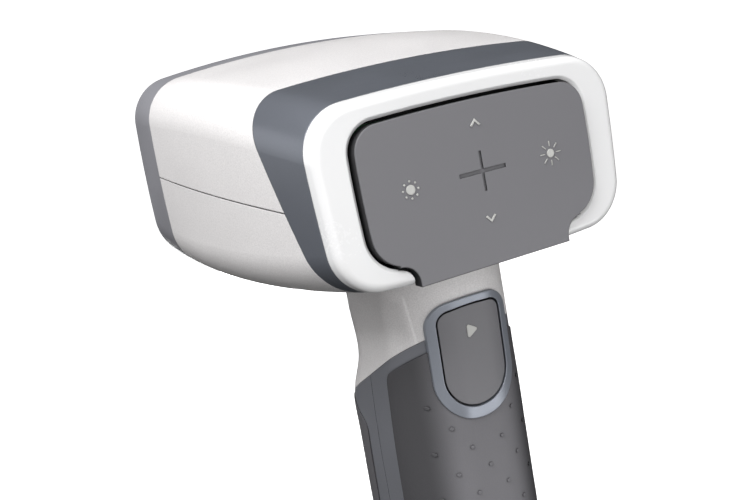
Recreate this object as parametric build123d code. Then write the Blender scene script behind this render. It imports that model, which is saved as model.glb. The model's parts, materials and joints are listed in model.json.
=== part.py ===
"""Handheld structured-light scanner with a pistol-type handle, built as separate pieces.

Millimetres. +Z runs up the handle, +Y is the viewing direction, +X is the user's right.
Every shape is drawn about the middle of the rear rocker panel; save() then shifts it so that
the origin is the middle of the handle's end face, on the axis of the cable socket.
"""

import os
from math import hypot

from build123d import *

os.makedirs("parts", exist_ok=True)

# ---- placing ----
HANDLE_Y = 51.0  # handle axis, forward of the rear panel
PANEL_Z = 197.2  # panel middle above the handle's end face

# ---- head ----
HEAD_DEPTH = 105.0
HEAD_RISE = 0.141  # the front face leans back by this slope
REAR = dict(
    w_top=39.1, w_bot=37.8, z_top=20.0, z_bot=-19.9,
    bow_top=1.5, bow_side=0.5, bow_bot=1.5, r_top=11.3, r_bot=11.3,
)
FRONT = dict(
    w_top=53.0, w_bot=53.4, z_top=35.9, z_bot=-18.3,
    bow_top=4.7, bow_side=0.9, bow_bot=2.1, r_top=12.7, r_bot=15.0,
)
BULGE_TOP, BULGE_SIDE, BULGE_BOT = 2.5, 2.9, 2.9
REAR_ROUND, FRONT_ROUND = 2.0, 1.2
WALL = 2.4
SEAM = 0.1  # fit between neighbouring pieces
PARTING_GAP = 0.3  # shadow gap between the two shells
GRIP_GAP = 0.22  # and between the two grip halves
BEZEL_T = 0.834  # where the front bezel begins, as a share of the depth
FRAME_T = 3.4  # rear frame thickness
COLLAR_Y, COLLAR_SLOPE = 15.5, 0.36
PART_Z, PART_SLOPE = 11.6, 0.134

# ---- rear rocker panel ----
PANEL = dict(
    w_top=29.9, w_bot=29.6, z_top=15.3, z_bot=-16.1,
    bow_top=1.0, bow_side=0.6, bow_bot=0.2, r_top=6.3, r_bot=8.0,
)
TAB_HALF, TAB_Z = 20.4, -21.7
NOTCH_R, NOTCH_Z = 4.3, -16.15
PANEL_GAP = 0.8
PANEL_PROUD = 1.2
CROSS_X, CROSS_Z, CROSS_D = 6.2, 4.6, 0.35  # cross groove: half lengths and depth
ICON_X, ICON_Z = 18.8, 11.2
KEY_Z = 13.2  # upper and lower switches
PIVOT_Y, LUG_AT = 7.0, 8.4
PIN_R, BORE_R = 1.0, 1.05

# ---- handle: height, half width, rear face, front face, corner radius ----
HANDLE = (
    (-13, 17.6, 16.6, 67.8, 13.0),
    (-22, 17.5, 17.1, 65.8, 13.5),
    (-31, 17.4, 17.5, 64.3, 14.0),
    (-42, 17.8, 18.1, 63.8, 14.5),
    (-51, 18.2, 18.8, 63.9, 15.0),
    (-63, 18.8, 19.7, 71.6, 15.5),
    (-75, 19.3, 20.7, 72.0, 16.0),
    (-100, 19.5, 22.0, 73.6, 16.0),
    (-150, 19.7, 23.6, 75.6, 16.0),
    (-198, 20.1, 24.6, 77.2, 16.0),
)
SKIN = 2.2
RINGS = 20
SPLIT_Z, SPLIT_SLOPE = -30.2, 0.515  # white neck above, grey grip below
GRIP_SEAM_Y, GRIP_SEAM_LEAN = 46.0, 0.05  # parting of the two grip halves at the pad's top
END_Z = -PANEL_Z

# ---- thumb button ----
BUTTON_Y, BUTTON_Z = 18.6, -49.0
BUTTON_LEAN = 0.07
BUTTON_HALF, BUTTON_TOP, BUTTON_BOT = 8.9, 14.5, -12.3
SURROUND_HALF, SURROUND_TOP, SURROUND_BOT = 11.8, 16.8, -16.0
BUTTON_GAP = 0.55

# ---- optics, in the front face's own axes (across, up, depth) ----
AXIS_UP = 11.0
CAMERA_X = 36.0
BENCH_D = 32.0


STANDING = (Align.CENTER, Align.CENTER, Align.MIN)


def save(node, shape):
    moved = Pos(0, -HANDLE_Y, PANEL_Z) * shape
    moved.label = node
    export_step(moved, f"parts/{node}.step")


def bowed_outline(w_top, w_bot, z_top, z_bot, bow_top, bow_side, bow_bot, r_top, r_bot, inset=0.0):
    """Four slightly bowed sides with rounded corners; inset moves every side inwards."""
    a, b, top, bot = w_top - inset, w_bot - inset, z_top - inset, z_bot + inset
    side = (a + b) / 2 + bow_side
    mid = (top + bot) / 2
    rim = [
        ThreePointArc((-a, top), (0, top + bow_top), (a, top)),
        ThreePointArc((a, top), (side, mid), (b, bot)),
        ThreePointArc((b, bot), (0, bot - bow_bot), (-b, bot)),
        ThreePointArc((-b, bot), (-side, mid), (-a, top)),
    ]
    face = make_face(rim)
    face = fillet(face.vertices().group_by(Axis.Y)[-1], r_top - inset)
    return fillet(face.vertices().group_by(Axis.Y)[0], r_bot - inset)


def box(x0, x1, y0, y1, z0, z1):
    size = Box(x1 - x0, y1 - y0, z1 - z0)
    return Pos((x0 + x1) / 2, (y0 + y1) / 2, (z0 + z1) / 2) * size


def rod(radius, start, end):
    """Round bar between two points."""
    span = [e - s for s, e in zip(start, end)]
    length = hypot(*span)
    return Plane(origin=start, z_dir=tuple(span)) * Cylinder(radius, length, align=STANDING)


def ahead_of(plane):
    """Everything on the side the plane's normal points to."""
    return plane * Pos(0, 0, 200) * Box(500, 500, 400)


def behind(plane):
    return plane * Pos(0, 0, -200) * Box(500, 500, 400)


def station(t):
    """Plane across the head at share t of its depth, normal pointing to the rear."""
    lean = t * HEAD_RISE
    return Plane(origin=(0, t * (HEAD_DEPTH + 8 * HEAD_RISE), 0), x_dir=(1, 0, 0), z_dir=(0, -1, -lean))


def head_outline(t, inset=0.0):
    mix = {key: REAR[key] * (1 - t) + FRONT[key] * t for key in REAR}
    swell = 4 * t * (1 - t)
    mix["z_top"] += BULGE_TOP * swell
    mix["z_bot"] -= BULGE_BOT * swell
    mix["w_top"] += BULGE_SIDE * swell
    mix["w_bot"] += BULGE_SIDE * swell
    return bowed_outline(**mix, inset=inset)


def head_body(inset=0.0):
    return loft([station(t) * head_outline(t, inset) for t in (0, 0.25, 0.5, 0.75, 1)])


def handle_ring(z):
    """Half width, rear face, front face and corner radius at a height, eased between the listed rings."""
    above = max(i for i in range(len(HANDLE) - 1) if i == 0 or HANDLE[i][0] >= z)
    span = HANDLE[above + 1][0] - HANDLE[above][0]
    u = (z - HANDLE[above][0]) / span

    def slope(i, k):
        lo, hi = max(i - 1, 0), min(i + 1, len(HANDLE) - 1)
        return (HANDLE[hi][k] - HANDLE[lo][k]) / (HANDLE[hi][0] - HANDLE[lo][0]) * span

    values = []
    for k in range(1, 5):
        rise = HANDLE[above + 1][k] - HANDLE[above][k]
        m0, m1 = slope(above, k), slope(above + 1, k)
        square = 3 * rise - 2 * m0 - m1
        cube = m0 + m1 - 2 * rise
        values.append(HANDLE[above][k] + u * (m0 + u * (square + u * cube)))
    return values


def handle_body(offset=0.0):
    """Handle and neck as one smooth solid; a smaller body runs past the ends of a larger one."""
    past = 1.0 - 0.2 * offset
    top, low = HANDLE[0][0], HANDLE[-1][0]
    rings = []
    for i in range(RINGS + 1):
        half, rear, front, radius = handle_ring(top + (low - top) * i / RINGS)
        ring = RectangleRounded(2 * (half + offset), front - rear + 2 * offset, radius + offset)
        z = (top + past) + (low - top - 2 * past) * i / RINGS
        rings.append(Pos(0, (front + rear) / 2, z) * ring)
    return loft(rings)


def disc(radius, depth, x=0.0, up=0.0, start=0.0):
    """Cylinder standing in the optics' axes, running back from a depth behind the front face."""
    solid = Cylinder(radius, depth, align=STANDING)
    return station(1) * Pos(x, up, start) * solid


def block(width, height, depth, x=0.0, up=0.0, start=0.0):
    solid = Box(width, height, depth, align=STANDING)
    return station(1) * Pos(x, up, start) * solid


head = head_body()
rear_rim = head.faces().sort_by(Axis.Y)[0].edges()
head = fillet(rear_rim, REAR_ROUND)
front_rim = head.faces().sort_by(Axis.Y)[-1].edges()
head = fillet(front_rim, FRONT_ROUND)
cavity = head_body(WALL)
head_skin = head - cavity

collar_plane = Plane(origin=(0, COLLAR_Y, 0), x_dir=(1, 0, 0), z_dir=(0, -1, COLLAR_SLOPE))
collar_plane_gap = collar_plane.offset(-SEAM)
parting = Plane(origin=(0, HEAD_DEPTH, PART_Z), x_dir=(1, 0, 0), z_dir=(0, -PART_SLOPE, 1))
bezel_plane = station(BEZEL_T)
split_plane = Plane(origin=(0, 0, SPLIT_Z), x_dir=(1, 0, 0), z_dir=(0, SPLIT_SLOPE, 1))
frame_back = Plane(origin=(0, FRAME_T, 0), x_dir=(1, 0, 0), z_dir=(0, -1, 0))

# ---- handle bodies ----
grip_outer = handle_body()
grip_inner = handle_body(-SKIN)
grip_skin = grip_outer - grip_inner

button_plane = Plane(origin=(0, BUTTON_Y, BUTTON_Z), x_dir=(1, 0, 0), z_dir=(0, -1, -BUTTON_LEAN))


def thumb_outline(half, top, bottom, corner, grow=0.0):
    """Flat-topped outline with a full round at the bottom."""
    w, t, b = half + grow, top + grow, bottom - grow
    rim = [
        ThreePointArc((-w, t - 0.8), (0, t), (w, t - 0.8)),
        Line((w, t - 0.8), (w, b + w)),
        ThreePointArc((w, b + w), (0, b), (-w, b + w)),
        Line((-w, b + w), (-w, t - 0.8)),
    ]
    face = make_face(rim)
    return fillet(face.vertices().group_by(Axis.Y)[-1], corner + grow)


def thumb_prism(outline, deep=14.0, out=10.0):
    """Outline swept square to the button's face, from inside the handle to outside it."""
    return extrude(button_plane.offset(-deep) * outline, amount=deep + out)


BUTTON_SHAPE = (BUTTON_HALF, BUTTON_TOP, BUTTON_BOT, 3.0)
surround_zone = thumb_prism(thumb_outline(SURROUND_HALF, SURROUND_TOP, SURROUND_BOT, 6.2))
button_zone = thumb_prism(thumb_outline(*BUTTON_SHAPE))
button_hole = thumb_prism(thumb_outline(*BUTTON_SHAPE, BUTTON_GAP))
flange_zone = thumb_prism(thumb_outline(*BUTTON_SHAPE, BUTTON_GAP + 0.9))

# ---- head shells ----
mid_skin = head_skin & behind(collar_plane_gap) & ahead_of(bezel_plane.offset(SEAM))
upper_shell = mid_skin & ahead_of(parting.offset(PARTING_GAP / 2))

SCREWS = [(x, y) for x in (-37.0, 37.0) for y in (30.0, 72.0)]
BOSS_TOP = -12.6
SCREW_SEAT = -15.5
SCREW_R, SCREW_HEAD_R = 1.2, 2.5
neck = (grip_outer - cavity) & ahead_of(split_plane.offset(SEAM / 2)) & behind(parting)
bosses = Part() + [rod(3.6, (x, y, -26), (x, y, BOSS_TOP)) for x, y in SCREWS]
lower_shell = (mid_skin & behind(parting.offset(-PARTING_GAP / 2))) + neck + (bosses & head)
lower_shell -= grip_inner
lower_shell -= surround_zone
posts = Part()
screws = Part()
for x, y in SCREWS:
    lower_shell -= rod(SCREW_R + 0.1, (x, y, -40), (x, y, BOSS_TOP + 1))
    lower_shell -= rod(SCREW_HEAD_R + 0.2, (x, y, -40), (x, y, SCREW_SEAT))
    screws += rod(SCREW_R, (x, y, SCREW_SEAT), (x, y, BOSS_TOP + 3.1))
    screws += rod(SCREW_HEAD_R, (x, y, SCREW_SEAT - 2), (x, y, SCREW_SEAT))
    screws -= Pos(x, y, SCREW_SEAT - 2) * Cylinder(1.0, 1.6)
    if y < 50:
        posts += rod(3.2, (x, y, BOSS_TOP + 0.05), (x, y, 40))
        posts -= rod(SCREW_R + 0.1, (x, y, BOSS_TOP - 1), (x, y, BOSS_TOP + 4))
upper_shell += posts & cavity
lower_shell = lower_shell.solids().sort_by(SortBy.VOLUME)[-1]
save("upper_shell", upper_shell)
save("lower_shell", lower_shell)
save("shell_screws", screws)

collar = head_skin & ahead_of(collar_plane) & behind(frame_back.offset(-SEAM))
save("rear_collar", collar)

# ---- front bezel and window ----
FLANGE = 4.6
face_opening = extrude(station(1) * head_outline(1, FLANGE), amount=30, both=True)
bezel = head_skin & behind(bezel_plane)
flange = (head & behind(station(1).offset(4.0))) - face_opening
bezel = bezel + flange
save("front_bezel", bezel)

window_blank = extrude(station(1).offset(1.0) * head_outline(1, FLANGE + 0.1), amount=2.0)
APERTURES = (
    (0.0, AXIS_UP, 13.6),
    (-CAMERA_X, AXIS_UP, 9.6),
    (CAMERA_X, AXIS_UP, 9.6),
    (-17.5, 27.0, 5.1),
)
for x, up, radius in APERTURES:
    window_blank -= disc(radius, 10, x, up, -2)
window_blank -= block(13.2, 9.2, 10, 17.5, 27.0, -2)
save("front_window", window_blank)

# ---- optics ----
bench = block(88, 34, 3.0, 0, AXIS_UP - 1, BENCH_D)
for x in (-37.0, 37.0):
    bench += box(x - 4.5, x + 4.5, 67.5, 76.5, BOSS_TOP + 0.05, -9.0)
    bench -= rod(SCREW_R + 0.1, (x, 72, BOSS_TOP - 1), (x, 72, BOSS_TOP + 3.5))
for x, up, radius in APERTURES:
    bench -= disc(radius - 1.4, 20, x, up, BENCH_D - 5)
bench -= block(13.2, 9.2, 20, 17.5, 27.0, BENCH_D - 5)
save("optical_bench", bench)

projector = block(38, 30, 30, 0, AXIS_UP, BENCH_D + 3)
projector += disc(11.0, 6, 0, AXIS_UP, BENCH_D - 1)
save("projector_housing", projector)

barrel = disc(13.2, 4, 0, AXIS_UP, 1.2) + disc(12.0, 25.7, 0, AXIS_UP, 5.2)
barrel -= disc(10.4, 16, 0, AXIS_UP, 0)
barrel -= disc(9.0, 40, 0, AXIS_UP, 0)
save("projector_barrel", barrel)
glass = disc(10.3, 3.0, 0, AXIS_UP, 3.0)
glass += (station(1) * Pos(0, AXIS_UP, 22.4) * Sphere(20.6)) & disc(10.3, 3, 0, AXIS_UP, 1.8)
save("projector_lens", glass)

lamp_board = block(26, 26, 6, 0, AXIS_UP, BENCH_D + 33.1)
save("light_source", lamp_board + disc(8.0, 2, 0, AXIS_UP, BENCH_D + 39.1))
sink = block(38, 28, 3, 0, AXIS_UP, BENCH_D + 41.2)
for i in range(9):
    sink += block(1.4, 28, 9, -17.6 + 4.4 * i, AXIS_UP, BENCH_D + 44)
save("heat_sink", sink)

for side, name in ((-1, "left"), (1, "right")):
    x = side * CAMERA_X
    body = block(22, 24, 12, x, AXIS_UP, BENCH_D - 12.1)
    save(f"camera_{name}", body + block(14, 14, 4, x, AXIS_UP, BENCH_D - 14))
    tube = disc(9.2, 5, x, AXIS_UP, 1.2) + disc(8.0, 11.6, x, AXIS_UP, 6.2)
    tube -= disc(7.4, 12, x, AXIS_UP, 0)
    tube -= disc(5.6, 20, x, AXIS_UP, 0)
    save(f"camera_barrel_{name}", tube)
    lens = disc(7.3, 2.6, x, AXIS_UP, 3.2)
    lens += (station(1) * Pos(x, AXIS_UP, 15.2) * Sphere(13.2)) & disc(7.3, 3, x, AXIS_UP, 2.0)
    save(f"camera_lens_{name}", lens)
    ring = disc(14.8, 1.6, x, AXIS_UP, 5.6) - disc(9.5, 6, x, AXIS_UP, 4)
    for i in range(12):
        spot = Rot(0, 0, 30 * i) * Pos(12.3, 0, 0) * Box(2.4, 2.4, 1.2, align=STANDING)
        ring += station(1) * Pos(x, AXIS_UP, 4.4) * spot
    save(f"light_ring_{name}", ring)

colour = disc(4.9, 12, -17.5, 27.0, 1.2) - disc(3.6, 3, -17.5, 27.0, 0)
colour += block(11, 11, 10, -17.5, 26.8, 13.2)
save("colour_camera", colour)
save("colour_camera_lens", disc(3.5, 1.3, -17.5, 27.0, 1.6))
save("infrared_emitter", block(11, 8, 20, 17.5, 27.0, 2.6))
save("infrared_window", block(13.0, 9.0, 1.2, 17.5, 27.0, 1.2))

board = box(-35, 35, 15.0, 16.6, -15.5, 17)
for x, z in ((-26, 8), (-26, -8), (26, 6)):
    board += box(x - 7, x + 7, 16.6, 18.4, z - 6, z + 6)
board += box(21, 33, 16.6, 20.0, -14, -9)
save("main_board", board)

# ---- rear frame, tray, rocker ----


def pad_outline(grow=0.0):
    """Rocker panel with the foot that runs out through the gap in the rear frame."""
    foot = TAB_HALF + NOTCH_R
    low = TAB_Z - grow
    face = Pos(0, (low - 12) / 2) * Rectangle(2 * foot, -12 - low)
    for side in (-1, 1):
        face -= Pos(side * foot, NOTCH_Z - NOTCH_R) * Circle(NOTCH_R - grow)
        face -= Pos(side * (TAB_HALF + grow + 5), NOTCH_Z - NOTCH_R - 5) * Rectangle(10, 10)
    return bowed_outline(**PANEL, inset=-grow) + face


pad = pad_outline()
rear_view = Plane(origin=(0, 0, 0), x_dir=(1, 0, 0), z_dir=(0, -1, 0))
opening = pad_outline(PANEL_GAP)
opening_prism = extrude(rear_view * opening, amount=20, both=True)
notch_drop = box(-TAB_HALF - PANEL_GAP, TAB_HALF + PANEL_GAP, -5, FRAME_T + 0.3, -30, -18.0)
frame = (head & ahead_of(frame_back)) - opening_prism - notch_drop
inner_rim = [
    edge
    for edge in frame.faces().sort_by(Axis.Y)[0].edges()
    if abs(edge.center().X) < PANEL["w_top"] + 2 and NOTCH_Z < edge.center().Z < PANEL["z_top"] + 3
]
frame = chamfer(inner_rim, 0.7)
save("rear_frame", frame)

plate = extrude(rear_view.offset(-2.2) * pad, amount=2.2 + PANEL_PROUD)
plate = chamfer(plate.faces().sort_by(Axis.Y)[0].edges(), 0.15)
plate -= box(-CROSS_X, CROSS_X, -PANEL_PROUD - 1, CROSS_D - PANEL_PROUD, -0.45, 0.45)
plate -= box(-0.3, 0.3, -PANEL_PROUD - 1, CROSS_D - PANEL_PROUD, -CROSS_Z, CROSS_Z)
for side in (-1, 1):
    lug = box(-2.6, 2.6, 2.1, 9.2, side * LUG_AT - 1, side * LUG_AT + 1)
    plate += lug - rod(BORE_R, (0, PIVOT_Y, side * LUG_AT - 3), (0, PIVOT_Y, side * LUG_AT + 3))
    plate += rod(2.0, (side * ICON_X, 2.1, 0), (side * ICON_X, 6.6, 0))
    plate += rod(2.0, (0, 2.1, side * KEY_Z), (0, 6.75, side * KEY_Z))
save("rocker_panel", plate)


def sign(sketch, x=0.0, z=0.0):
    """Printed sign 0.12 mm thick on the panel's face."""
    return extrude(rear_view.offset(PANEL_PROUD) * Pos(x, z) * sketch, amount=0.12)


dots = Circle(1.12)
rays = Circle(1.02)
for i in range(8):
    dots += Rot(0, 0, 45 * i) * Pos(0, 1.92) * Circle(0.26)
    rays += Rot(0, 0, 45 * i) * Pos(0, 2.25) * Rectangle(0.26, 1.3)
arrow_points = [(-1.4, -0.75), (0, 0.75), (1.4, -0.75), (0.95, -1.02), (0, 0.0), (-0.95, -1.02)]
arrow = make_face(Polyline(*arrow_points, close=True))
icons = sign(dots, -ICON_X) + sign(rays, ICON_X) + sign(arrow, 0, ICON_Z)
icons += sign(Rot(0, 0, 180) * arrow, 0, -ICON_Z)
save("panel_icons", icons)

tray_out = bowed_outline(**PANEL, inset=-2.4)
tray_in = bowed_outline(**PANEL, inset=-PANEL_GAP - 0.1)
tray = extrude(rear_view.offset(-13.0) * tray_out, amount=13.0 - FRAME_T - SEAM)
tray -= extrude(rear_view.offset(-11.5) * tray_in, amount=20)
for side in (-1, 1):
    post = box(side * LUG_AT - 1, side * LUG_AT + 1, 5.0, 11.6, -2.6, 2.6)
    tray += post - rod(BORE_R, (side * LUG_AT - 3, PIVOT_Y, 0), (side * LUG_AT + 3, PIVOT_Y, 0))
tray &= cavity
save("keypad_tray", tray)

gimbal = box(-6.5, 6.5, 5.5, 8.5, -6.5, 6.5) - box(-4.3, 4.3, 5, 9, -4.3, 4.3)
for side in (-1, 1):
    gimbal += rod(PIN_R, (side * 5, PIVOT_Y, 0), (side * 9.6, PIVOT_Y, 0))
    gimbal += rod(PIN_R, (0, PIVOT_Y, side * 5), (0, PIVOT_Y, side * 9.6))
save("rocker_gimbal", gimbal)

keypad = box(-24.4, 24.4, 9.9, 11.4, -15.4, 15.4)
for side in (-1, 1):
    keypad -= box(side * LUG_AT - 1.6, side * LUG_AT + 1.6, 9, 12, -3.2, 3.2)
save("keypad_board", keypad)

switches = Part()
for x, z in ((-ICON_X, 0), (ICON_X, 0), (0, KEY_Z), (0, -KEY_Z)):
    switches += box(x - 2.2, x + 2.2, 8.1, 9.9, z - 2.2, z + 2.2)
    switches += rod(1.2, (x, 7.35, z), (x, 8.2, z))
save("tact_switches", switches)

# ---- grip ----
below_split = behind(split_plane.offset(-SEAM / 2))
grip_zone = below_split & box(-60, 60, -20, 120, END_Z + 6.05, 0)
grip_all = grip_skin & grip_zone

side_view = Plane.YZ
PAD_Y, PAD_DRIFT, PAD_LOW = 34.2, 8.0, -176.0
STRIP_Y, STRIP_TOP, STRIP_DRIFT = 53.2, -70.5, 9.5
pad_top = SPLIT_Z - 3.4
pad_points = [
    (-10, pad_top + SPLIT_SLOPE * 10),
    (PAD_Y, pad_top - SPLIT_SLOPE * PAD_Y),
    (PAD_Y + PAD_DRIFT, PAD_LOW),
    (-10, PAD_LOW),
]
pad_side = make_face(Polyline(*pad_points, close=True))
pad_side = fillet(pad_side.vertices().filter_by(lambda v: v.X > 20), 5.0)
strip_points = [
    (STRIP_Y, STRIP_TOP),
    (STRIP_Y + STRIP_DRIFT, PAD_LOW),
    (100, PAD_LOW),
    (100, STRIP_TOP + 12),
    (STRIP_Y + 8, STRIP_TOP + 6.0),
]
strip_side = make_face(Polyline(*strip_points, close=True))
strip_side = fillet(strip_side.vertices().filter_by(lambda v: v.Y > STRIP_TOP - 1 and v.X < 80), 4.0)
pad_zone = extrude(side_view * pad_side, amount=40, both=True)
strip_zone = extrude(side_view * strip_side, amount=40, both=True)
pad_layer = handle_body(0.35) - handle_body(-1.1)
rear_pad = (pad_layer & pad_zone) - surround_zone
front_strip = pad_layer & strip_zone & behind(split_plane.offset(-0.4))

seam_start = (0, GRIP_SEAM_Y, BUTTON_Z + BUTTON_BOT)
grip_parting = Plane(origin=seam_start, x_dir=(1, 0, 0), z_dir=(0, -1, -GRIP_SEAM_LEAN))
grip_rear = (grip_all & ahead_of(grip_parting.offset(GRIP_GAP / 2))) - surround_zone - rear_pad
grip_front = (grip_all & behind(grip_parting.offset(-GRIP_GAP / 2))) - front_strip
save("grip_rear", grip_rear)
save("grip_front", grip_front)

COLUMN, ROW, COLUMNS, ROWS = 4.65, 13.2, 7, 8
PIP_R, PIP_START = 0.5, -59.2
pip_solids = Part()
for i in range(COLUMNS):
    x = COLUMN * (i - (COLUMNS - 1) / 2)
    for j in range(ROWS):
        z = PIP_START - ROW * j - (ROW / 2 if i % 2 else 0)
        if z < -70 or abs(x) > 9:
            pip_solids += rod(PIP_R, (x, 10, z), (x, 42, z))
pip_solids = pip_solids & (handle_body(0.7) - handle_body(0.1))
pip_solids = pip_solids & pad_zone
save("rear_grip_pad", rear_pad + pip_solids)
save("front_grip_strip", front_strip)

surround = ((handle_body(0.9) - grip_inner) & surround_zone) - button_hole
save("button_surround", surround)

# ---- thumb button and what it presses ----
button = (handle_body(0.6) & button_zone) - handle_body(-3.2)
button += (handle_body(-2.7) & flange_zone) - handle_body(-3.9)
button += button_plane * Pos(0, 0, -3.5) * Cylinder(2.5, 4.0)
save("thumb_button", button)
play = make_face(Polyline((-1.4, -2.1), (-1.4, 2.1), (1.9, 0), close=True))
play = fillet(play.vertices(), 0.5)
play_zone = extrude(button_plane.offset(-14) * Pos(0, 7.9) * play, amount=24)
save("play_icon", (handle_body(0.72) - handle_body(0.6)) & play_zone)

save("button_board", button_plane * Pos(0, 0, -11.3) * Box(16, 26, 1.6))
dome = button_plane * Pos(0, 0, -9.0) * Cylinder(3.2, 3.0)
save("button_switch", dome + button_plane * Pos(0, 0, -7.15) * Cylinder(1.6, 0.7))

# ---- handle's lower end ----
SOCKET_R, SOCKET_BORE, SOCKET_DEEP = 8.0, 5.6, 9.0
cap = grip_outer & box(-60, 60, -20, 120, END_Z, END_Z + 6)
cap = fillet(cap.faces().sort_by(Axis.Z)[0].edges(), 1.6)
spigot = handle_body(-SKIN - 0.1) - handle_body(-SKIN - 1.8)
cap += spigot & box(-60, 60, -20, 120, END_Z + 5.9, END_Z + 10)
cap -= rod(SOCKET_R + 0.05, (0, HANDLE_Y, END_Z - 5), (0, HANDLE_Y, END_Z + 30))
save("handle_end_cap", cap)

socket = rod(SOCKET_R, (0, HANDLE_Y, END_Z), (0, HANDLE_Y, END_Z + 18))
socket -= rod(SOCKET_BORE, (0, HANDLE_Y, END_Z - 1), (0, HANDLE_Y, END_Z + SOCKET_DEEP))
lock_ring = rod(10.5, (0, HANDLE_Y, END_Z + 6.1), (0, HANDLE_Y, END_Z + 8.0))
socket += lock_ring - rod(7, (0, HANDLE_Y, END_Z), (0, HANDLE_Y, END_Z + 20))
contacts = Part()
for i in range(6):
    spot = Pos(0, HANDLE_Y, END_Z) * Rot(0, 0, 60 * i) * Pos(3.3, 0, 0)
    socket -= spot * Pos(0, 0, 15) * Cylinder(0.65, 20)
    contact = Pos(0, 0, SOCKET_DEEP) * Cylinder(0.6, 12, align=STANDING)
    contacts += spot * (contact - Cylinder(0.3, 2 * SOCKET_DEEP + 8))
save("cable_socket", socket)
save("socket_contacts", contacts)

card = box(-12, 12, HANDLE_Y + 4, HANDLE_Y + 5.6, -176, -92)
card += box(-8, 8, HANDLE_Y + 5.6, HANDLE_Y + 9, -110, -98)
save("interface_board", card)
route = [
    (0, HANDLE_Y + 2.4, -91.9),
    (0, HANDLE_Y + 2.4, -16.9),
    (27, 38, -16.6),
    (27, 22.5, -11.5),
    (27, 20.1, -11.5),
]
wires = Part()
for start, end in zip(route, route[1:]):
    wires += rod(2.0, start, end) + Pos(start) * Sphere(2.0)
wires -= Pos(route[0]) * Box(5, 5, 4, align=(Align.CENTER, Align.CENTER, Align.MAX))
save("head_harness", wires)
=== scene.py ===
"""Studio scene for the handheld scanner: materials, floor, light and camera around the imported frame."""

import json
from math import cos, pi, radians, sin

import bpy
from mathutils import Matrix, Vector

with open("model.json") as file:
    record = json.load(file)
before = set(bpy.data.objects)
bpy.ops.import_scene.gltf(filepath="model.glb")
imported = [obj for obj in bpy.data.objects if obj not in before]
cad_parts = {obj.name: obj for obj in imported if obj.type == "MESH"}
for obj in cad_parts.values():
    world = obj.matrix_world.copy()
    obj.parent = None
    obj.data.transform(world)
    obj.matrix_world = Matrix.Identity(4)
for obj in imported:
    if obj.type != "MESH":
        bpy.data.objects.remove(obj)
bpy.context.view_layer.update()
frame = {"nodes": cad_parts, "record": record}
nodes = frame["nodes"]

MM = 0.001
CRISP_ANGLE = radians(28)  # edges sharper than this are shaded as edges

# ---- camera, from the rear left and slightly above ----
CAMERA_AT = Vector((-105.8, -226.0, 222.7)) * MM
YAW, PITCH, ROLL = 0.4117, 0.188, -0.2004
LENS, SENSOR = 43.2, 36.0

# ---- textures, in cells per metre ----
DRIFT_SCALE = 38.0  # slow change of tone and gloss over a surface
GLASS_DRIFT_SCALE, GLASS_SMEAR_SCALE = 60.0, 900.0
TRACK_SCALE, RESIST_SCALE = 420.0, 700.0
FLOOR_SCALE = 3.0

# ---- wear, gloss and painted shade ----
EDGE_RADIUS = 0.35 * MM  # width of the rounded rim on a moulded edge
ROUGH_BY = 0.06  # how far a surface's gloss wanders
CREVICE_REACH = 0.8 * MM  # widest gap that gets painted shade

# ---- grip: the rear pad lies behind PAD_PARTING, the front strip ahead of it ----
PAD_PARTING = -4.0 * MM
SHADE_START, PAD_MARGIN = 7.0 * MM, 16.0 * MM  # from the middle: no painted shade up to one, full painted shade from the other
STRIP_SHADE = 0.62  # how dark the front strip is made, as a share of the margins' full darkening

# ---- ridge beside the thumb rest, as distances from the middle at CREASE_HEIGHT ----
CREASE_HEIGHT = 163.0 * MM
CREASE_FLARE = 0.08  # how much further out it lies for each unit of height
CREASE_OUTSIDE, CREASE_CREST = 17.2 * MM, 14.6 * MM
CREASE_INSIDE, CREASE_RIM = 13.8 * MM, 14.4 * MM
CREASE_TOP, CREASE_FULL = 169.2 * MM, 166.2 * MM  # gone above the first, whole below the second
CREASE_FRONT = -15.0 * MM
CREASE_DEPTH = 0.5 * MM


# ---- node helpers ----
def new_material(name):
    material = bpy.data.materials.new(name)
    material.use_nodes = True
    tree = material.node_tree
    tree.nodes.clear()
    out = tree.nodes.new("ShaderNodeOutputMaterial")
    shader = tree.nodes.new("ShaderNodeBsdfPrincipled")
    tree.links.new(shader.outputs["BSDF"], out.inputs["Surface"])
    return material, tree, shader


def feed(tree, value, socket):
    """Links a node's output to a socket, or sets a constant on it."""
    if isinstance(value, bpy.types.NodeSocket):
        tree.links.new(value, socket)
    else:
        socket.default_value = value


def object_place(tree):
    """A point's place in the frame, in metres."""
    return tree.nodes.new("ShaderNodeTexCoord").outputs["Object"]


def coordinate(tree, index):
    split = tree.nodes.new("ShaderNodeSeparateXYZ")
    tree.links.new(object_place(tree), split.inputs["Vector"])
    return split.outputs[index]


def noise(tree, scale, detail=3.0, rough=0.55, stretch=None):
    """Fractal noise in the frame's metres; scale is in cells per metre."""
    source = object_place(tree)
    if stretch:
        mapping = tree.nodes.new("ShaderNodeMapping")
        mapping.inputs["Scale"].default_value = stretch
        tree.links.new(source, mapping.inputs["Vector"])
        source = mapping.outputs["Vector"]
    texture = tree.nodes.new("ShaderNodeTexNoise")
    texture.inputs["Scale"].default_value = scale
    texture.inputs["Detail"].default_value = detail
    texture.inputs["Roughness"].default_value = rough
    tree.links.new(source, texture.inputs["Vector"])
    return texture.outputs["Fac"]


def spread(tree, value, low, high, low_in=0.3, high_in=0.7, ease="LINEAR"):
    """Stretches the values between low_in and high_in over low to high, and stops there."""
    node = tree.nodes.new("ShaderNodeMapRange")
    node.interpolation_type = ease
    node.inputs["From Min"].default_value = low_in
    node.inputs["From Max"].default_value = high_in
    node.inputs["To Min"].default_value = low
    node.inputs["To Max"].default_value = high
    tree.links.new(value, node.inputs["Value"])
    return node.outputs["Result"]


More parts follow.
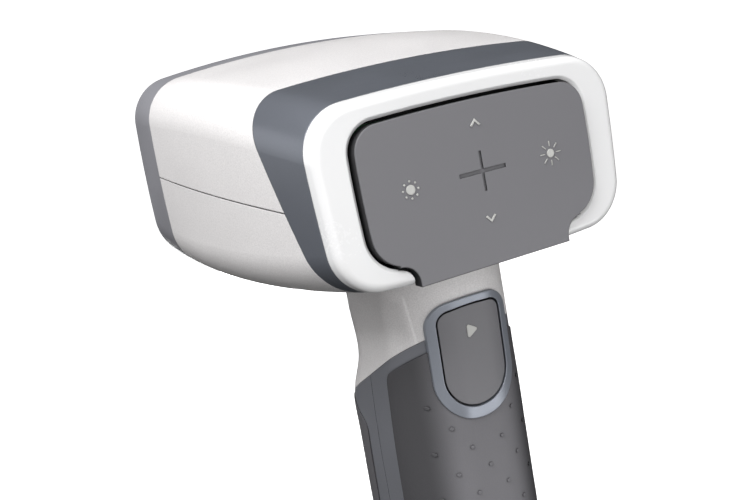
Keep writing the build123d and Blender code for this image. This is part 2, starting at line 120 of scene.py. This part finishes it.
def eased(tree, value, low_in, high_in):
    """0 to 1 between two values, with soft ends."""
    return spread(tree, value, 0.0, 1.0, low_in, high_in, "SMOOTHSTEP")


def arithmetic(tree, operation, first, second=0.0):
    node = tree.nodes.new("ShaderNodeMath")
    node.operation = operation
    feed(tree, first, node.inputs[0])
    feed(tree, second, node.inputs[1])
    return node.outputs[0]


def product(tree, first, *others):
    for factor in others:
        first = arithmetic(tree, "MULTIPLY", first, factor)
    return first


def dot(tree, first, second):
    node = tree.nodes.new("ShaderNodeVectorMath")
    node.operation = "DOT_PRODUCT"
    feed(tree, first, node.inputs[0])
    feed(tree, second, node.inputs[1])
    return node.outputs["Value"]


def blend_colours(tree, factor, first, second):
    node = tree.nodes.new("ShaderNodeMix")
    node.data_type = "RGBA"
    feed(tree, factor, node.inputs["Factor"])
    for socket, colour in ((node.inputs[6], first), (node.inputs[7], second)):
        feed(tree, (*colour, 1.0) if isinstance(colour, tuple) else colour, socket)
    return node.outputs[2]


def bumped(tree, height, depth, under=None):
    """The normal of a surface raised by height, on top of another normal if there is one."""
    bump = tree.nodes.new("ShaderNodeBump")
    bump.inputs["Distance"].default_value = depth
    tree.links.new(height, bump.inputs["Height"])
    if under:
        tree.links.new(under, bump.inputs["Normal"])
    return bump.outputs["Normal"]


def scaled(colour, factor):
    """A colour made darker or lighter, no brighter than white."""
    return tuple(min(channel * factor, 1.0) for channel in colour)


# ---- masks ----
def edge_mask(tree, radius):
    """High where a rounded copy of the surface differs from the true one, and that copy's normal."""
    bevel = tree.nodes.new("ShaderNodeBevel")
    bevel.samples = 6
    bevel.inputs["Radius"].default_value = radius
    rounded = bevel.outputs["Normal"]
    true_normal = tree.nodes.new("ShaderNodeNewGeometry").outputs["Normal"]
    return spread(tree, dot(tree, rounded, true_normal), 1.0, 0.0, 0.72, 1.0), rounded


def crevice_shade(tree):
    """Painted shade: high in narrow gaps, in grooves and around the feet of small studs, where ambient
    occlusion finds little open space.
    """
    node = tree.nodes.new("ShaderNodeAmbientOcclusion")
    node.samples = 8
    node.inputs["Distance"].default_value = CREVICE_REACH
    return spread(tree, node.outputs["AO"], 0.9, 0.0, 0.35, 0.95)


def wall_shade(tree):
    """Painted shade: high on the walls of a keypad, low on its face, which looks backwards."""
    normal = tree.nodes.new("ShaderNodeTexCoord").outputs["Normal"]
    return spread(tree, dot(tree, normal, (0, -1, 0)), 1.0, 0.0, 0.5, 0.8)


def pad_margin_shade(tree):
    """High at the rear pad's margins, where it paints shade, part way across the front strip, low in the
    pad's middle.
    """
    margin = eased(tree, arithmetic(tree, "ABSOLUTE", coordinate(tree, 0)), SHADE_START, PAD_MARGIN)
    on_pad = arithmetic(tree, "LESS_THAN", coordinate(tree, 1), PAD_PARTING)
    on_strip = arithmetic(tree, "SUBTRACT", 1.0, on_pad)
    return arithmetic(tree, "ADD", product(tree, margin, on_pad), product(tree, on_strip, STRIP_SHADE))


# ---- changes to a finished material ----
def darken(material, mask_of, dark):
    """Paints shade: mixes a darker colour into the surface where the mask is high."""
    tree = material.node_tree
    colour = tree.nodes["Principled BSDF"].inputs["Base Color"]
    base = colour.links[0].from_socket
    tree.links.new(blend_colours(tree, mask_of(tree), base, dark), colour)


def thumb_crease(material):
    """Soft ridge down each side of the neck's back: a slow rise from outside, then a sharp drop inside."""
    tree = material.node_tree
    normal = tree.nodes["Principled BSDF"].inputs["Normal"]
    above = arithmetic(tree, "SUBTRACT", coordinate(tree, 2), CREASE_HEIGHT)
    aside = arithmetic(tree, "ABSOLUTE", coordinate(tree, 0))
    across = arithmetic(tree, "ADD", aside, product(tree, above, -CREASE_FLARE))
    rise = eased(tree, across, CREASE_OUTSIDE, CREASE_CREST)
    drop = eased(tree, across, CREASE_INSIDE, CREASE_RIM)
    fade = eased(tree, coordinate(tree, 2), CREASE_TOP, CREASE_FULL)
    rear = arithmetic(tree, "LESS_THAN", coordinate(tree, 1), CREASE_FRONT)
    height = product(tree, rise, drop, fade, rear)
    tree.links.new(bumped(tree, height, CREASE_DEPTH, normal.links[0].from_socket), normal)


# ---- kinds of material ----
def surface(name, colour, rough, metal=0.0, coat=0.0, spec=0.5, grain=1400, depth=0.02 * MM, stretch=None,
            tint=0.06, flake=0.0, edge=0.25, edge_tint=1.25, radius=EDGE_RADIUS):
    """Moulded or metal surface: fine grain, slow tonal drift, uneven gloss and lightly worn edges."""
    material, tree, shader = new_material(name)
    fine = noise(tree, grain, 2.0, 0.6, stretch)
    slow = noise(tree, DRIFT_SCALE, 4.0)
    drift = spread(tree, slow, 0.0, 1.0)
    tone = blend_colours(tree, drift, scaled(colour, 1 - tint), scaled(colour, 1 + tint))
    flakes = spread(tree, fine, 0.0, 1.0, 0.25, 0.75)
    speck = blend_colours(tree, flakes, scaled(colour, 1 - flake), scaled(colour, 1 + flake))
    mask, rounded = edge_mask(tree, radius)
    wear = spread(tree, mask, 0.0, edge, 0.0, 1.0)
    worn = blend_colours(tree, wear, blend_colours(tree, 0.5, tone, speck), scaled(colour, edge_tint))
    tree.links.new(worn, shader.inputs["Base Color"])
    coarse_gloss = spread(tree, slow, rough - ROUGH_BY, rough + ROUGH_BY)
    fine_gloss = spread(tree, fine, -0.5 * ROUGH_BY, 0.5 * ROUGH_BY)
    tree.links.new(arithmetic(tree, "ADD", coarse_gloss, fine_gloss), shader.inputs["Roughness"])
    tree.links.new(bumped(tree, fine, depth, rounded), shader.inputs["Normal"])
    shader.inputs["Metallic"].default_value = metal
    shader.inputs["Coat Weight"].default_value = coat
    shader.inputs["Coat Roughness"].default_value = 0.1
    shader.inputs["Specular IOR Level"].default_value = spec
    return material


def glass(name, colour, coating, rough, alpha):
    """Tinted glass with a faint anti-reflex colour that drifts across it."""
    material, tree, shader = new_material(name)
    drift = spread(tree, noise(tree, GLASS_DRIFT_SCALE, 2.0, 0.5), 0.0, 1.0)
    smear = spread(tree, noise(tree, GLASS_SMEAR_SCALE), rough * 0.6, rough * 1.5)
    tree.links.new(blend_colours(tree, drift, colour, coating), shader.inputs["Base Color"])
    tree.links.new(smear, shader.inputs["Roughness"])
    shader.inputs["Alpha"].default_value = alpha
    shader.inputs["Coat Weight"].default_value = 1.0
    shader.inputs["Coat Roughness"].default_value = 0.02
    shader.inputs["IOR"].default_value = 1.52
    return material


def circuit(name):
    """Green solder resist with buried tracks."""
    material, tree, shader = new_material(name)
    tracks = tree.nodes.new("ShaderNodeTexBrick")
    tracks.inputs["Scale"].default_value = TRACK_SCALE
    tracks.inputs["Mortar Size"].default_value = 0.06
    tracks.inputs["Color1"].default_value = (0.012, 0.085, 0.035, 1)
    tracks.inputs["Color2"].default_value = (0.010, 0.070, 0.030, 1)
    tracks.inputs["Mortar"].default_value = (0.03, 0.16, 0.07, 1)
    tree.links.new(object_place(tree), tracks.inputs["Vector"])
    tree.links.new(tracks.outputs["Color"], shader.inputs["Base Color"])
    tree.links.new(spread(tree, noise(tree, RESIST_SCALE), 0.3, 0.45), shader.inputs["Roughness"])
    tree.links.new(bumped(tree, tracks.outputs["Fac"], 0.03 * MM), shader.inputs["Normal"])
    return material


# ---- finishes, by the record's material slots ----
finishes = {
    "white_shell": {"colour": (0.76, 0.742, 0.742), "rough": 0.42, "coat": 0.15, "grain": 3000,
                    "depth": 0.04 * MM, "tint": 0.02, "flake": 0.24, "edge": 0.3, "edge_tint": 1.1},
    "gloss_white": {"colour": (0.86, 0.86, 0.865), "rough": 0.22, "coat": 0.4, "grain": 1500,
                    "depth": 0.004 * MM, "tint": 0.01, "radius": 0.5 * MM, "edge": 0.2, "edge_tint": 1.05},
    "bezel_plastic": {"colour": (0.33, 0.33, 0.36), "rough": 0.38, "metal": 0.3, "grain": 2600,
                      "depth": 0.01 * MM},
    "blue_grey_satin": {"colour": (0.160, 0.172, 0.200), "rough": 0.34, "metal": 0.45, "grain": 3000,
                        "depth": 0.008 * MM, "flake": 0.08, "edge": 0.5, "edge_tint": 1.8},
    "surround_satin": {"colour": (0.31, 0.332, 0.38), "rough": 0.36, "metal": 0.45, "grain": 3000,
                       "depth": 0.008 * MM, "flake": 0.06, "edge": 0.3, "edge_tint": 1.3},
    "panel_grey": {"colour": (0.185, 0.183, 0.196), "rough": 0.5, "grain": 2600, "depth": 0.012 * MM,
                   "tint": 0.02, "edge": 0.3, "edge_tint": 1.3},
    "icon_print": {"colour": (0.56, 0.56, 0.54), "rough": 0.5, "grain": 2200, "depth": 0.005 * MM},
    "grip_plastic": {"colour": (0.195, 0.20, 0.222), "rough": 0.4, "metal": 0.2, "grain": 2600,
                     "depth": 0.012 * MM},
    "grip_rubber": {"colour": (0.182, 0.179, 0.192), "rough": 0.6, "spec": 0.4, "grain": 2400,
                    "depth": 0.03 * MM, "tint": 0.05, "flake": 0.06},
    "black_plastic": {"colour": (0.02, 0.02, 0.021), "rough": 0.5, "grain": 1800},
    "black_metal": {"colour": (0.025, 0.025, 0.028), "rough": 0.35, "metal": 0.8, "grain": 3000,
                    "depth": 0.01 * MM},
    "cast_aluminium": {"colour": (0.5, 0.51, 0.52), "rough": 0.4, "metal": 1.0, "grain": 1600,
                       "depth": 0.04 * MM},
    "metal_satin": {"colour": (0.42, 0.43, 0.44), "rough": 0.3, "metal": 1.0, "grain": 2400,
                    "depth": 0.01 * MM, "stretch": (1, 1, 0.1)},
    "steel": {"colour": (0.3, 0.3, 0.31), "rough": 0.35, "metal": 1.0, "grain": 2600, "depth": 0.01 * MM},
    "brass": {"colour": (0.75, 0.55, 0.24), "rough": 0.25, "metal": 1.0, "grain": 2600, "depth": 0.005 * MM},
    "silicone": {"colour": (0.2, 0.2, 0.2), "rough": 0.6, "grain": 1500},
    "led_board": {"colour": (0.6, 0.58, 0.5), "rough": 0.45, "grain": 900, "depth": 0.04 * MM},
    "cable_black": {"colour": (0.02, 0.02, 0.02), "rough": 0.6, "grain": 900, "depth": 0.1 * MM,
                    "stretch": (1, 1, 0.2)},
}
slots = {name: surface(name, **finish) for name, finish in finishes.items()}
slots["circuit_board"] = circuit("circuit_board")
slots["dark_glass"] = glass("dark_glass", (0.008, 0.008, 0.012), (0.016, 0.012, 0.024), 0.05, 0.92)
slots["lens_glass"] = glass("lens_glass", (0.03, 0.02, 0.06), (0.02, 0.06, 0.07), 0.03, 0.75)

# Painted shade: each row mixes a dark colour into a finish on keypad walls, in gaps and grooves, round stud
# feet and at the pad's margins.
painted_shades = (
    ("panel_grey", wall_shade, (0.03, 0.03, 0.032)),
    ("panel_grey", crevice_shade, (0.03, 0.03, 0.032)),
    ("white_shell", crevice_shade, (0.16, 0.155, 0.155)),
    ("grip_rubber", pad_margin_shade, (0.064, 0.063, 0.068)),
    ("grip_rubber", crevice_shade, (0.012, 0.012, 0.013)),
    ("grip_plastic", crevice_shade, (0.02, 0.02, 0.022)),
)
for slot, mask_of, shade in painted_shades:
    darken(slots[slot], mask_of, shade)
thumb_crease(slots["white_shell"])

for part in frame["record"]["subparts"]:
    node = nodes[part["node"]]
    node.data.materials.clear()
    node.data.materials.append(slots[part["material_slot"]])
    for face in node.data.polygons:
        face.use_smooth = True
    node.data.set_sharp_from_angle(angle=CRISP_ANGLE)


# ---- floor ----
def floor_mesh():
    """Disc that curves up into a round wall, all in metres."""
    inner, flat, bend, top = 0.4, 1.6, 0.9, 3.0
    steps, around = 16, 72
    profile = [(inner, 0.0)]
    for step in range(steps + 1):
        turn = step / steps * pi / 2
        profile.append((flat + bend * sin(turn), bend - bend * cos(turn)))
    profile.append((flat + bend, top))
    turns = [2 * pi * k / around for k in range(around)]
    verts = [(radius * cos(turn), radius * sin(turn), z) for radius, z in profile for turn in turns]
    faces = [tuple(range(around))]
    for row in range(len(profile) - 1):
        for k in range(around):
            a = row * around + k
            b = row * around + (k + 1) % around
            faces.append((a, a + around, b + around, b))
    mesh = bpy.data.meshes.new("studio_floor")
    mesh.from_pydata(verts, [], faces)
    for face in mesh.polygons:
        face.use_smooth = True
    return mesh


def floor_material():
    material, tree, shader = new_material("studio_floor")
    pale = blend_colours(tree, noise(tree, FLOOR_SCALE), (0.93, 0.93, 0.93), (0.95, 0.95, 0.95))
    tree.links.new(pale, shader.inputs["Base Color"])
    shader.inputs["Roughness"].default_value = 0.9
    shader.inputs["Emission Color"].default_value = (1, 1, 1, 1)
    shader.inputs["Emission Strength"].default_value = 0.8
    return material


def sweep_floor():
    """Pale floor and wall that light nothing and show in no reflection."""
    mesh = floor_mesh()
    mesh.materials.append(floor_material())
    floor = bpy.data.objects.new("studio_floor", mesh)
    bpy.context.scene.collection.objects.link(floor)
    floor.visible_diffuse = False
    floor.visible_glossy = False
    floor.visible_shadow = False


# ---- light ----
def area_light(name, at, size, power, aim):
    data = bpy.data.lights.new(name, "AREA")
    data.shape = "RECTANGLE"
    data.size, data.size_y = size
    data.energy = power
    lamp = bpy.data.objects.new(name, data)
    lamp.location = at
    lamp.rotation_euler = (Vector(aim) - Vector(at)).to_track_quat("-Z", "Y").to_euler()
    bpy.context.scene.collection.objects.link(lamp)


def soft_dome(bright_side, dark, bright):
    """White dome that fades from its bright side to the dark one."""
    world = bpy.data.worlds.new("studio")
    world.use_nodes = True
    sky = world.node_tree
    backdrop = sky.nodes["Background"]
    direction = sky.nodes.new("ShaderNodeTexCoord").outputs["Generated"]
    facing = dot(sky, direction, Vector(bright_side).normalized())
    sky.links.new(spread(sky, facing, dark, bright, -0.45, 0.9), backdrop.inputs["Strength"])
    backdrop.inputs["Color"].default_value = (1, 1, 1, 1)
    bpy.context.scene.world = world


# ---- camera ----
def photo_camera():
    look = Vector((sin(YAW) * cos(PITCH), cos(YAW) * cos(PITCH), -sin(PITCH)))
    level = Vector((cos(YAW), -sin(YAW), 0))
    rise = level.cross(look)
    across = cos(ROLL) * level + sin(ROLL) * rise
    upward = -sin(ROLL) * level + cos(ROLL) * rise
    data = bpy.data.cameras.new("photo_view")
    data.lens = LENS
    data.sensor_width = SENSOR
    data.clip_start = 0.01
    camera = bpy.data.objects.new("photo_view", data)
    turned = Matrix((across, upward, -look)).transposed().to_4x4()
    camera.matrix_world = Matrix.Translation(CAMERA_AT) @ turned
    bpy.context.scene.collection.objects.link(camera)
    bpy.context.scene.camera = camera


body_middle = (0, -0.01, 0.17)
lamps = (
    # name, place, width and height in metres, power in watts, point that it faces
    ("key", (-0.45, -0.25, 0.75), (0.35, 0.35), 5.0, (0, -0.03, 0.20)),
    ("back_soft", (-0.02, -1.0, 0.38), (0.9, 0.9), 4.4, body_middle),
    ("top", (-0.1, -0.05, 0.95), (0.6, 0.6), 2.0, body_middle),
    ("left_front", (-0.60, 0.35, 0.35), (0.4, 0.4), 0.62, body_middle),
    ("front_soft", (0.22, 1.0, 0.08), (0.5, 0.22), 2.2, (0, 0.03, 0.15)),
    ("low_right", (0.14, -0.22, 0.03), (0.12, 0.12), 0.13, (0, -0.03, 0.08)),
)
sweep_floor()
for lamp in lamps:
    area_light(*lamp)
soft_dome(bright_side=(-0.45, -0.62, 0.64), dark=0.024, bright=0.452)
photo_camera()
bpy.context.scene.view_settings.view_transform = "Standard"
